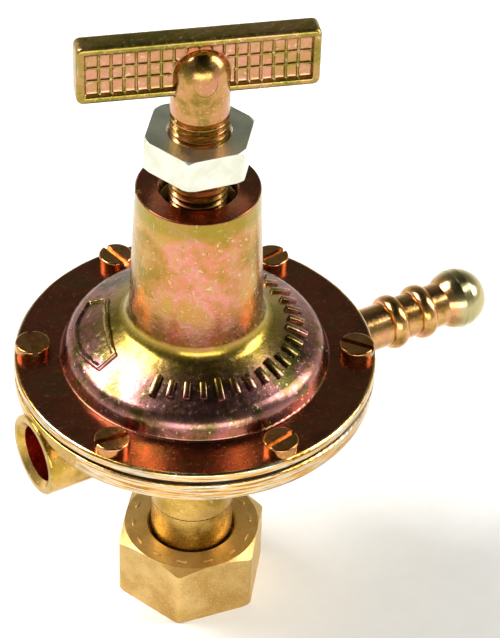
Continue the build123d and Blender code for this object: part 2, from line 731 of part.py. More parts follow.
# ---- Adjusting screw, lock nut and tee handle ---------------------------------------------------------------------
with BuildPart() as adjusting_screw:
    with BuildSketch(Plane.XZ):
        with BuildLine():
            arc = CenterArc((0, z_dome), shank_r, 0, 90)
            Polyline(
                arc @ 1,
                (0, z_cap_top - screw_pilot_length),
                (screw_pilot_diameter / 2, z_cap_top - screw_pilot_length),
                (screw_pilot_diameter / 2, z_cap_top),
                (shank_r - thread_depth, z_cap_top),
                *groove_points(shank_r, thread_pitch, thread_depth, z_cap_top + thread_pitch, z_thread_end),
                arc @ 0,
            )
        make_face()
    revolve(axis=Axis.Z)
    with BuildSketch(fork_plane):
        with Locations((0, -bar_height / 2 - seated)):
            Rectangle(bar_web + 2 * seated, 2 * bar_height, align=(Align.CENTER, Align.MIN))
            Rectangle(bar_thickness + 2 * seated, bar_border + 2 * seated, align=(Align.CENTER, Align.MIN))
        with Locations((0, bar_height / 2 - bar_border - seated)):
            Rectangle(bar_thickness + 2 * seated, bar_height, align=(Align.CENTER, Align.MIN))
    extrude(amount=thread_diameter, both=True, mode=Mode.SUBTRACT)
    with BuildSketch(rivet_plane):
        Circle(rivet_diameter / 2 + seated)
    extrude(amount=thread_diameter, both=True, mode=Mode.SUBTRACT)

with BuildPart() as handle_rivet:
    with BuildSketch(rivet_plane):
        Circle(rivet_diameter / 2)
    extrude(amount=thread_diameter, both=True)
    with BuildSketch(Plane.XZ):
        with BuildLine():
            cap_arc = CenterArc((0, z_dome), shank_r - 0.05, 0, 90)
            Polyline(cap_arc @ 1, (0, z_dome - shank_r), (shank_r - 0.05, z_dome - shank_r), cap_arc @ 0)
        make_face()
    revolve(axis=Axis.Z, mode=Mode.INTERSECT)

pocket_length = bar_length - 2 * bar_border
pocket_height = bar_height - 2 * bar_border
cell_x = (pocket_length - bar_rib) / bar_columns
cell_y = (pocket_height - bar_rib) / bar_rows
with BuildPart() as tee_bar:
    with BuildSketch(bar_plane):
        with Locations((bar_offset, 0)):
            RectangleRounded(bar_length, bar_height, 1.2)
    extrude(amount=bar_thickness / 2, both=True)
    bar_faces = tee_bar.faces().sort_by(Axis(bar_plane.origin, bar_plane.z_dir))
    fillet(bar_faces[0].edges() + bar_faces[-1].edges(), 0.7)
    for side in (1, -1):
        with BuildSketch(bar_plane.offset(side * bar_thickness / 2)):
            with Locations((bar_offset, 0)):
                Rectangle(pocket_length, pocket_height)
        extrude(amount=-side * bar_recess, mode=Mode.SUBTRACT)
        with BuildSketch(bar_plane.offset(side * (bar_thickness / 2 - bar_recess))):
            with Locations((bar_offset, 0)):
                with GridLocations(cell_x, cell_y, bar_columns, bar_rows):
                    Rectangle(cell_x - bar_rib, cell_y - bar_rib)
            with Locations((0, z_dome - z_bar)):
                Circle(shank_r + running)
            with Locations((0, -pocket_height / 2)):
                Rectangle(
                    thread_diameter + 2 * running,
                    z_dome - z_bar + pocket_height / 2,
                    align=(Align.CENTER, Align.MIN),
                )
        extrude(amount=-side * bar_pocket, mode=Mode.SUBTRACT)
    with BuildSketch(rivet_plane):
        Circle(rivet_diameter / 2 + seated)
    extrude(amount=bar_thickness, both=True, mode=Mode.SUBTRACT)

with BuildPart() as lock_nut:
    with BuildSketch(Plane.XY.offset(z_lock_nut)):
        RegularPolygon(lock_nut_across_flats / 2, 6, major_radius=False, rotation=lock_nut_angle)
        Circle(shank_r + running, mode=Mode.SUBTRACT)
    extrude(amount=lock_nut_thickness)
    lock_nut_top = z_lock_nut + lock_nut_thickness
    cone = chamfer_cone(lock_nut_across_flats, z_lock_nut, lock_nut_top, lock_nut_trim, lock_nut_trim)
    add(cone, mode=Mode.INTERSECT)
    bore_edges = lock_nut.edges().filter_by(GeomType.CIRCLE).filter_by(lambda edge: edge.radius < shank_r + 1)
    chamfer(bore_edges, lock_nut_mouth_chamfer)

# ---- Written pieces -----------------------------------------------------------------------------------------------
pieces = {
    "union_nut": union_nut.part,
    "inlet_gasket": inlet_gasket.part,
    "inlet_nipple": inlet_nipple.part,
    "inlet_filter": inlet_filter.part,
    "nipple_o_ring": nipple_o_ring.part,
    "lower_body": lower_body.part,
    "hose_barb": hose_barb_part,
    "valve_seat": valve_seat.part,
    "poppet": poppet.part,
    "valve_pad": valve_pad.part,
    "valve_pin": valve_pin.part,
    "poppet_spring": poppet_spring.part,
    "diaphragm": diaphragm.part,
    "spring_plate": spring_plate.part,
    "backing_plate": backing_plate.part,
    "centre_bolt": centre_bolt.part,
    "centre_nut": centre_nut.part,
    "bonnet": bonnet.part,
    "range_spring": range_spring.part,
    "spring_cap": spring_cap.part,
    "adjusting_screw": adjusting_screw.part,
    "handle_rivet": handle_rivet.part,
    "tee_bar": tee_bar.part,
    "lock_nut": lock_nut.part,
}
for number, part in enumerate(cover_screws, start=1):
    pieces[f"cover_screw_{number}"] = part
for name, part in pieces.items():
    write(part, name)
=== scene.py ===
"""Looks for an adjustable gas regulator: finishes, raised marks and a studio around the CAD frame.

The CAD model gives every part its place and size. This script gives each part the finish that its maker gave it,
adds the raised marks and the ribbed bar that are too fine for the CAD model, and sets up a plain studio. It works in
metres, in the frame of the CAD model: +Z is up the tower and +X is along the hose barb.
"""

import json
import logging
from dataclasses import dataclass, field
from enum import Enum
from math import cos, hypot, radians, sin, tan

import bmesh
import bpy
from mathutils import Matrix, Vector


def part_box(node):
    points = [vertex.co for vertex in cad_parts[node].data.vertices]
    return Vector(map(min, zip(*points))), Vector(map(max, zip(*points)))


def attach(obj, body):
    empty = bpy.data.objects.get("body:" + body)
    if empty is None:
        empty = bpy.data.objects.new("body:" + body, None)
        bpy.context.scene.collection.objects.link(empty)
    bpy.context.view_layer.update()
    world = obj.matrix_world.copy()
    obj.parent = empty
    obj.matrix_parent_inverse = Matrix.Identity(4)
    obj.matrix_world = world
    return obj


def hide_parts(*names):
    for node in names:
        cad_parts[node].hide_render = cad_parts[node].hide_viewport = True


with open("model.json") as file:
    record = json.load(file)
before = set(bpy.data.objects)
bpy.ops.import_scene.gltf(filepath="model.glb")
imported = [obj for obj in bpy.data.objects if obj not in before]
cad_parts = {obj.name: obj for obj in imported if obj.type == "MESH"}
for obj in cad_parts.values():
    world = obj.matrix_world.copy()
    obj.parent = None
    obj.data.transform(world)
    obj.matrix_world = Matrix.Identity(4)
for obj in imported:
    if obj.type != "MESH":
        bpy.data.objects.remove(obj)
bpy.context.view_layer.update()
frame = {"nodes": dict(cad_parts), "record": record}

MM = 0.001

log = logging.getLogger("regulator")

Socket = bpy.types.NodeSocket
Tree = bpy.types.NodeTree


class Body(Enum):
    """The CAD bodies that carry a piece made here."""

    CASTING = "body"
    UNION_NUT = "union_nut"
    HANDLE = "handle"


class Slot(Enum):
    """Names of two of the record's material slots."""

    CASTING = "chromated_casting"
    BRASS = "forged_brass"


def linear(code: str) -> tuple[float, float, float, float]:
    """Turns an sRGB hex colour into linear light.

    Args:
        code: Six hex digits, such as "d9a441".

    Returns:
        Red, green, blue and an alpha of 1.
    """
    channels = [int(code[i : i + 2], 16) / 255 for i in (0, 2, 4)]
    return tuple(c / 12.92 if c <= 0.04045 else ((c + 0.055) / 1.055) ** 2.4 for c in channels) + (1.0,)


def add_node(tree: Tree, kind: str, settings: dict | None = None, inputs: dict | None = None) -> bpy.types.Node:
    """Adds one node to a tree.

    Args:
        tree: The tree that gets the node.
        kind: The node's type, such as "ShaderNodeMath".
        settings: Values for the node's own properties.
        inputs: Values or sockets for its inputs, by their name or number.

    Returns:
        The new node.
    """
    node = tree.nodes.new(kind)
    for name, value in (settings or {}).items():
        setattr(node, name, value)
    for key, value in (inputs or {}).items():
        if isinstance(value, Socket):
            tree.links.new(value, node.inputs[key])
        else:
            node.inputs[key].default_value = value
    return node


def ramp(tree: Tree, factor: Socket, stops: list[tuple[float, str]], interpolation: str = "LINEAR") -> Socket:
    """Adds a colour ramp.

    Args:
        tree: The tree that gets the ramp.
        factor: What the ramp reads.
        stops: Place and hex colour of each stop, in order.
        interpolation: How the ramp goes from stop to stop.

    Returns:
        The ramp's colour output.
    """
    node = add_node(tree, "ShaderNodeValToRGB", inputs={"Fac": factor})
    node.color_ramp.interpolation = interpolation
    elements = node.color_ramp.elements
    while len(elements) < len(stops):
        elements.new(0.5)
    for element, (place, code) in zip(elements, stops):
        element.position = place
        element.color = linear(code)
    return node.outputs["Color"]


class Pattern:
    """Patterns on the object's own coordinates, at real sizes, for the finishes to share."""

    def __init__(self, tree: Tree) -> None:
        """Starts from the tree's object coordinates.

        Args:
            tree: The material's node tree.
        """
        self.tree = tree
        self.position = add_node(tree, "ShaderNodeTexCoord").outputs["Object"]
        split = add_node(tree, "ShaderNodeSeparateXYZ", inputs={0: self.position})
        self.x, self.y, self.z = split.outputs
        squares = self.math("ADD", self.math("POWER", self.x, 2.0), self.math("POWER", self.y, 2.0))
        self.radius = self.math("SQRT", squares)

    def math(self, operation: str, *values: float | Socket) -> Socket:
        """Works out one operation on numbers.

        Args:
            operation: The math node's operation, such as "ADD".
            values: Its numbers or sockets, in order.

        Returns:
            The result.
        """
        settings = {"operation": operation}
        return add_node(self.tree, "ShaderNodeMath", settings, dict(enumerate(values))).outputs[0]

    def span(self, value: Socket, low: float, high: float) -> Socket:
        """Maps a value onto 0 to 1, smoothly and without running past either end.

        Args:
            value: What is mapped.
            low: The value that becomes 0.
            high: The value that becomes 1.

        Returns:
            The share.
        """
        inputs = {"Value": value, "From Min": low, "From Max": high}
        return add_node(self.tree, "ShaderNodeMapRange", {"interpolation_type": "SMOOTHSTEP"}, inputs).outputs[0]

    def mottle(self, size_mm: float, detail: float = 4.0, stretch: tuple[float, float, float] = (1, 1, 1)) -> Socket:
        """Adds cloudy noise.

        Args:
            size_mm: How wide one patch is.
            detail: How many finer octaves ride on it.
            stretch: Scale along x, y and z; under 1 draws the patches out.

        Returns:
            The noise, from 0 to 1.
        """
        mapped = add_node(self.tree, "ShaderNodeMapping", inputs={"Vector": self.position, "Scale": stretch})
        inputs = {"Vector": mapped.outputs[0], "Scale": 1 / (size_mm * MM), "Detail": detail, "Roughness": 0.6}
        return add_node(self.tree, "ShaderNodeTexNoise", inputs=inputs).outputs["Fac"]

    def scale_of(self, factor: Socket, codes: tuple[str, ...]) -> Socket:
        """Runs evenly through a row of colours.

        Args:
            factor: How far along the row, from 0 to 1.
            codes: The colours as hex digits.

        Returns:
            The colour at that place.
        """
        last = len(codes) - 1
        return ramp(self.tree, factor, [(number / last, code) for number, code in enumerate(codes)])

    def blend(self, factor: float | Socket, first: Socket | tuple, second: Socket | tuple) -> Socket:
        """Mixes two colours.

        Args:
            factor: How much of the second colour shows.
            first: A colour or a socket.
            second: A colour or a socket.

        Returns:
            The mixed colour.
        """
        settings = {"data_type": "RGBA", "blend_type": "MIX"}
        return add_node(self.tree, "ShaderNodeMix", settings, {0: factor, 6: first, 7: second}).outputs[2]

    def bump(self, layers: list[tuple[Socket, float]]) -> Socket:
        """Stacks bumps.

        Args:
            layers: Each layer's height pattern and its depth in millimetres.

        Returns:
            The bumped normal.
        """
        normal: dict[str, Socket] = {}
        for height, depth_mm in layers:
            inputs = {"Height": height, "Distance": depth_mm * MM, "Strength": 1.0, **normal}
            normal = {"Normal": add_node(self.tree, "ShaderNodeBump", inputs=inputs).outputs[0]}
        return normal["Normal"]


def new_material(name: str) -> tuple[bpy.types.Material, Tree, bpy.types.Node]:
    """Makes an empty metal or plastic material.

    Args:
        name: The finish's name.

    Returns:
        The material, its tree and its Principled shader.
    """
    material = bpy.data.materials.new(name)
    material.use_nodes = True
    tree = material.node_tree
    return material, tree, tree.nodes["Principled BSDF"]


@dataclass(frozen=True)
class ChromatedCasting:
    """Zinc die casting in yellow chromate.

    The chromate is a thin clear film. It shifts from olive gold to salmon and pink with its thickness, and rubs off at
    the rims to bare grey zinc. Light and shade are painted into it as well: the side towards the lit bearing keeps the
    pale salmon film and the sides turned away are painted a darker olive, the flats are painted with a dark red-brown
    reflection, the bell below bell_top takes a darker film that is partly painted dark reflection, and the tower's
    mouth is painted dark as shade.
    """

    name: str
    film: tuple[str, ...] = ("b0823c", "c78452", "d2846a", "d88f80", "c48a4a")
    # Darker olive: random blotches of the film, and the painted shade on the sides turned away from the lit bearing.
    flank_tint_and_shade: tuple[str, ...] = ("8f7628", "b08a3c", "bb9a50")
    # The bell's darker film: partly its own tint, partly painted dark reflection.
    bell: tuple[str, ...] = ("4f4a20", "7f5a4a", "9c6a6a", "a2705e", "605620")
    # Painted dark red-brown reflection on the flats.
    flat_reflection: tuple[str, ...] = ("784a34", "94503a", "80583a")
    rim: tuple[str, ...] = ("8f6a2c", "d39a4a", "e3b777", "d9d5c4", "a9823a")
    speckle: str = "dcc79a"
    dark_speck: str = "6b4a22"
    flat_speck: str = "c98a58"
    band: str = "93832c"
    port_film: tuple[str, ...] = ("c8502a", "e0683a", "a8461f")
    # Painted shade in the mouth of the tapped hole.
    mouth_shade: str = "4a2f18"
    scratch: str = "e6d6b0"
    roughness: float = 0.22
    lit_bearing: float | None = None
    rim_radius: float | None = None
    bell_top: float | None = None
    mouth_radius: float | None = None
    flat_heights: tuple[float, ...] = ()
    flat_depth: float = 0.3
    band_heights: tuple[float, ...] = ()
    port: tuple[float, float, float] | None = None

    def build(self) -> bpy.types.Material:
        """Builds the finish.

        Returns:
            The material.
        """
        material, tree, shader = new_material(self.name)
        pattern = Pattern(tree)
        cloud = pattern.span(pattern.mottle(7.0, detail=6.0), 0.33, 0.67)
        colour = pattern.scale_of(cloud, self.film)
        blotch = pattern.span(pattern.mottle(1.7, detail=7.0), 0.46, 0.60)
        flank_tint_and_shade = pattern.scale_of(cloud, self.flank_tint_and_shade)
        colour = pattern.blend(pattern.math("MULTIPLY", blotch, 0.5), colour, flank_tint_and_shade)
        # Painted light and shade: the side that faces this bearing keeps the pale salmon film, as if lit, and the
        # sides turned away take the darker olive, as if shaded.
        if self.lit_bearing is not None:
            turn = radians(self.lit_bearing)
            along = pattern.math("ADD", pattern.math("MULTIPLY", pattern.x, cos(turn)),
                                 pattern.math("MULTIPLY", pattern.y, sin(turn)))
            facing = pattern.math("DIVIDE", along, pattern.math("ADD", pattern.radius, MM))
            ragged = pattern.math("MULTIPLY_ADD", pattern.mottle(3.0, detail=5.0), 0.4, facing)
            side = pattern.math("SUBTRACT", 1.0, pattern.span(ragged, 0.72, 1.12))
            colour = pattern.blend(pattern.math("MULTIPLY", side, 0.85), colour, flank_tint_and_shade)
        # The bell below bell_top takes a darker film: partly the film's own tint, partly a painted dark reflection of
        # the room overhead.
        if self.bell_top is not None:
            ragged = pattern.math("MULTIPLY_ADD", pattern.mottle(4.0, detail=5.0), 3.0 * MM, pattern.z)
            low = pattern.math("SUBTRACT", 1.0, pattern.span(ragged, self.bell_top, self.bell_top + 3.0 * MM))
            colour = pattern.blend(low, colour, pattern.scale_of(cloud, self.bell))
        fine = pattern.mottle(0.8, detail=6.0)
        specks = pattern.math("MULTIPLY", pattern.span(fine, 0.58, 0.70), 0.8)
        colour = pattern.blend(specks, colour, linear(self.speckle))
        dark = pattern.span(pattern.mottle(0.55, detail=5.0), 0.63, 0.70)
        colour = pattern.blend(pattern.math("MULTIPLY", dark, 0.6), colour, linear(self.dark_speck))
        for height in self.band_heights:
            distance = pattern.math("ABSOLUTE", pattern.math("SUBTRACT", pattern.z, height))
            band = pattern.math("SUBTRACT", 1.0, pattern.span(distance, 0.8 * MM, 3.2 * MM))
            colour = pattern.blend(pattern.math("MULTIPLY", band, 0.7), colour, linear(self.band))
        # Painted reflection: the flats at these heights are coloured a dark red-brown, as if they mirrored the dark
        # room above.
        for height in self.flat_heights:
            distance = pattern.math("ABSOLUTE", pattern.math("SUBTRACT", pattern.z, height))
            away = pattern.span(distance, 0.5 * self.flat_depth * MM, self.flat_depth * MM)
            near = pattern.math("SUBTRACT", 1.0, away)
            flat_reflection_colour = pattern.scale_of(cloud, self.flat_reflection)
            specks = pattern.math("MULTIPLY", pattern.span(fine, 0.60, 0.72), 0.5)
            flat_reflection_colour = pattern.blend(specks, flat_reflection_colour, linear(self.flat_speck))
            colour = pattern.blend(near, colour, flat_reflection_colour)
        if self.rim_radius is not None:
            edge = pattern.span(pattern.radius, self.rim_radius - 0.75 * MM, self.rim_radius - 0.45 * MM)
            if self.port is not None:
                edge = pattern.math("MULTIPLY", edge, pattern.math("GREATER_THAN", pattern.x, -0.93 * self.rim_radius))
            streak = pattern.span(pattern.mottle(0.5, detail=5.0, stretch=(0.05, 0.05, 1)), 0.34, 0.66)
            colour = pattern.blend(edge, colour, pattern.scale_of(streak, self.rim))
        if self.port is not None:
            depth, centre, radius = self.port
            rise = pattern.math("SUBTRACT", pattern.z, centre)
            squares = pattern.math("ADD", pattern.math("POWER", pattern.y, 2.0), pattern.math("POWER", rise, 2.0))
            inside = pattern.math("LESS_THAN", pattern.math("SQRT", squares), radius)
            inside = pattern.math("MULTIPLY", inside, pattern.math("LESS_THAN", pattern.x, depth))
            colour = pattern.blend(inside, colour, pattern.scale_of(cloud, self.port_film))
        # Painted shade: inside the mouth of the tapped hole the casting is coloured dark brown.
        if self.mouth_radius is not None:
            inside = pattern.math("LESS_THAN", pattern.radius, self.mouth_radius)
            colour = pattern.blend(inside, colour, linear(self.mouth_shade))
        scratches = pattern.span(pattern.mottle(0.3, detail=2.0, stretch=(1, 1, 0.07)), 0.68, 0.74)
        colour = pattern.blend(pattern.math("MULTIPLY", scratches, 0.45), colour, linear(self.scratch))
        roughness = pattern.math("MULTIPLY_ADD", fine, 0.24, self.roughness - 0.1)
        tree.links.new(colour, shader.inputs["Base Color"])
        tree.links.new(roughness, shader.inputs["Roughness"])
        skin = pattern.bump([(pattern.mottle(2.4, detail=3.0), 0.045), (fine, 0.01)])
        tree.links.new(skin, shader.inputs["Normal"])
        shader.inputs["Metallic"].default_value = 1.0
        return material


@dataclass(frozen=True)
class ChromatedSteel:
    """Turned steel in yellow chromate.

    Turning leaves fine rings that stretch the highlights. The film is olive gold with specks of pink, and it has
    worn to a pale green silver where the part is handled most.
    """

    name: str
    film: tuple[str, ...] = ("7f6a2c", "a07c3c", "b88852", "bd8262")
    speckle: str = "dd9f84"
    dark_speck: str = "6f5522"
    worn: str = "b9b487"
    roughness: float = 0.18
    along_x: bool = False
    worn_from: float | None = None

    def build(self) -> bpy.types.Material:
        """Builds the finish.

        Returns:
            The material.
        """
        material, tree, shader = new_material(self.name)
        pattern = Pattern(tree)
        cloud = pattern.span(pattern.mottle(4.0, detail=6.0), 0.33, 0.67)
        colour = pattern.scale_of(cloud, self.film)
        fine = pattern.mottle(0.7, detail=6.0)
        specks = pattern.math("MULTIPLY", pattern.span(fine, 0.55, 0.68), 0.7)
        colour = pattern.blend(specks, colour, linear(self.speckle))
        dark = pattern.span(pattern.mottle(0.6, detail=5.0), 0.60, 0.68)
        colour = pattern.blend(pattern.math("MULTIPLY", dark, 0.5), colour, linear(self.dark_speck))
        if self.worn_from is not None:
            ragged = pattern.math("MULTIPLY_ADD", pattern.mottle(1.2, detail=5.0), 2.0 * MM, pattern.x)
            tip = pattern.span(ragged, self.worn_from, self.worn_from + 2.5 * MM)
            colour = pattern.blend(pattern.math("MULTIPLY", tip, 0.75), colour, linear(self.worn))
        stretch = (1, 0.04, 0.04) if self.along_x else (0.04, 0.04, 1)
        rings = pattern.mottle(0.25, detail=3.0, stretch=stretch)
        tree.links.new(colour, shader.inputs["Base Color"])
        tree.links.new(pattern.math("MULTIPLY_ADD", fine, 0.22, self.roughness - 0.08), shader.inputs["Roughness"])
        skin = pattern.bump([(pattern.mottle(1.6, detail=3.0), 0.03), (rings, 0.008), (fine, 0.01)])
        tree.links.new(skin, shader.inputs["Normal"])
        shader.inputs["Metallic"].default_value = 1.0
        return material


@dataclass(frozen=True)
class ForgedBrass:
    """Hot-forged brass, shot-blasted and left bare.

    Blasting leaves a fine even grain that spreads the light, so the faces look matte and sandy, and the film of
    tarnish is browner in the hollows.
    """

    name: str = "forged brass, blasted"
    light: str = "d9b878"
    dark: str = "bf9750"
    bright_grain: str = "efd9a2"
    pit: str = "8a6428"
    grain_mm: float = 0.3
    roughness: float = 0.46

    def build(self) -> bpy.types.Material:
        """Builds the finish.

        Returns:
            The material.
        """
        material, tree, shader = new_material(self.name)
        pattern = Pattern(tree)
        cloud = pattern.span(pattern.mottle(6.0, detail=6.0), 0.3, 0.7)
        colour = pattern.blend(cloud, linear(self.dark), linear(self.light))
        grain = pattern.mottle(self.grain_mm, detail=3.0)
        bright = pattern.math("MULTIPLY", pattern.span(grain, 0.52, 0.72), 0.6)
        colour = pattern.blend(bright, colour, linear(self.bright_grain))
        pits = pattern.span(pattern.mottle(0.7, detail=4.0), 0.64, 0.72)
        colour = pattern.blend(pattern.math("MULTIPLY", pits, 0.35), colour, linear(self.pit))
        tree.links.new(colour, shader.inputs["Base Color"])
        tree.links.new(pattern.math("MULTIPLY_ADD", grain, 0.2, self.roughness - 0.1), shader.inputs["Roughness"])
        tree.links.new(pattern.bump([(pattern.mottle(2.0, detail=2.0), 0.03), (grain, 0.03)]), shader.inputs["Normal"])
        shader.inputs["Metallic"].default_value = 1.0
        return material


@dataclass(frozen=True)
class ZincPlate:
    """Bright zinc plate on steel.

    It is a cool silver with a faint straw tint, brushed fine by the barrel it was tumbled in, with small knocks.
    """

    name: str = "bright zinc plate"
    light: str = "e9e8da"
    dark: str = "d6d6c4"
    straw: str = "cfc9a0"
    roughness: float = 0.3

    def build(self) -> bpy.types.Material:
        """Builds the finish.

        Returns:
            The material.
        """
        material, tree, shader = new_material(self.name)
        pattern = Pattern(tree)
        cloud = pattern.span(pattern.mottle(4.0, detail=6.0), 0.35, 0.65)
        colour = pattern.blend(cloud, linear(self.dark), linear(self.light))
        fine = pattern.mottle(0.5, detail=6.0)
        specks = pattern.math("MULTIPLY", pattern.span(fine, 0.6, 0.72), 0.35)
        colour = pattern.blend(specks, colour, linear(self.straw))
        tree.links.new(colour, shader.inputs["Base Color"])
        tree.links.new(pattern.math("MULTIPLY_ADD", fine, 0.25, self.roughness - 0.1), shader.inputs["Roughness"])
        tree.links.new(pattern.bump([(pattern.mottle(3.0), 0.025), (fine, 0.005)]), shader.inputs["Normal"])
        shader.inputs["Metallic"].default_value = 1.0
        return material


@dataclass(frozen=True)
class TurnedMetal:
    """A plain turned or drawn metal: rings from the tool, and a colour that varies a little."""

    name: str
    light: str
    dark: str
    roughness: float = 0.25

    def build(self) -> bpy.types.Material:
        """Builds the finish.

        Returns:
            The material.
        """
        material, tree, shader = new_material(self.name)
        pattern = Pattern(tree)
        cloud = pattern.span(pattern.mottle(3.5, detail=6.0), 0.35, 0.65)
        fine = pattern.mottle(0.4, detail=5.0)
        rings = pattern.mottle(0.3, detail=3.0, stretch=(0.03, 0.03, 1))
        colour = pattern.blend(cloud, linear(self.dark), linear(self.light))
        tree.links.new(colour, shader.inputs["Base Color"])
        tree.links.new(pattern.math("MULTIPLY_ADD", fine, 0.25, self.roughness - 0.1), shader.inputs["Roughness"])
        tree.links.new(pattern.bump([(rings, 0.012), (fine, 0.008)]), shader.inputs["Normal"])
        shader.inputs["Metallic"].default_value = 1.0
        return material


@dataclass(frozen=True)
class MouldedRubber:
    """Moulded nitrile rubber: near black, soft-edged highlights, a trace of grey bloom."""

    name: str = "moulded nitrile rubber"
    dark: str = "17140f"
    bloomed: str = "2b261e"

    def build(self) -> bpy.types.Material:
        """Builds the finish.

        Returns:
            The material.
        """
        material, tree, shader = new_material(self.name)
        pattern = Pattern(tree)
        bloom = pattern.span(pattern.mottle(1.5, detail=6.0), 0.4, 0.7)
        tree.links.new(pattern.blend(bloom, linear(self.dark), linear(self.bloomed)), shader.inputs["Base Color"])
        tree.links.new(pattern.math("MULTIPLY_ADD", bloom, 0.2, 0.5), shader.inputs["Roughness"])
        tree.links.new(pattern.bump([(pattern.mottle(0.3, detail=3.0), 0.01)]), shader.inputs["Normal"])
        return material


def height_of(node: str, top: bool = True) -> float:
    """Finds the height of a CAD node's top or bottom.

    Args:
        node: The node's name.
        top: Its top if true, its bottom if not.

    Returns:
        The height in metres.
    """
    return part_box(node)[1 if top else 0][2]


def dress(nodes: tuple[str, ...], material: bpy.types.Material) -> None:
    """Gives CAD nodes a finish in every material slot.

    Args:
        nodes: Names of the nodes.
        material: The finish.
    """
    for name in nodes:
        for holder in frame["nodes"][name].material_slots:
            holder.material = material
        log.info("dressed %s in %s", name, material.name)


def finish_piece(name: str, shape: bmesh.types.BMesh, material: bpy.types.Material, body: Body,
                 smooth_angle: float = 35.0) -> bpy.types.Object:
    """Turns a bmesh into a piece that rides on a body.

    Args:
        name: The piece's name.
        shape: Its mesh, in place, which this frees.
        material: Its finish.
        body: The CAD body that it moves with.
        smooth_angle: Edges flatter than this, in degrees, are shaded smooth.

    Returns:
        The piece.
    """
    bmesh.ops.remove_doubles(shape, verts=shape.verts, dist=1e-7)
    bmesh.ops.recalc_face_normals(shape, faces=shape.faces)
    mesh = bpy.data.meshes.new(name)
    for face in shape.faces:
        face.smooth = True
    for edge in shape.edges:
        edge.smooth = edge.calc_face_angle(0.0) < radians(smooth_angle)
    shape.to_mesh(mesh)
    shape.free()
    piece = bpy.data.objects.new(name, mesh)
    bpy.context.scene.collection.objects.link(piece)
    mesh.materials.append(material)
    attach(piece, body.value)
    log.info("built %s with %d faces", name, len(mesh.polygons))
    return piece


def add_bar(shape: bmesh.types.BMesh, place: Matrix, size: tuple[float, float, float], edge: float) -> None:
    """Adds one small raised bar with softened edges.

    Args:
        shape: The bmesh that gets it.
        place: Its frame, on the surface that it stands on.
        size: Its length, width and height, half of which is sunk.
        edge: How far its edges are rounded.
    """
    one = bmesh.new()
    bmesh.ops.create_cube(one, size=1.0, matrix=Matrix.Diagonal((*size, 1)))
    bmesh.ops.bevel(one, geom=one.edges[:], offset=edge, offset_type="OFFSET", segments=2, profile=0.5,
                    affect="EDGES", material=-1)
    bmesh.ops.transform(one, matrix=place, verts=one.verts)
    spare = bpy.data.meshes.new("spare")
    one.to_mesh(spare)
    one.free()
    shape.from_mesh(spare)
    bpy.data.meshes.remove(spare)


@dataclass(frozen=True)
class SoftBox:
    """One soft box: where it hangs, how large it is and how strong.

    The bearing is in degrees round the object from the camera's right, anticlockwise from above, and the height is in
    degrees above the horizon. Its reach and size are in metres and its power is in watts.
    """

    name: str
    bearing: float
    height: float
    reach: float
    size: tuple[float, float]
    power: float


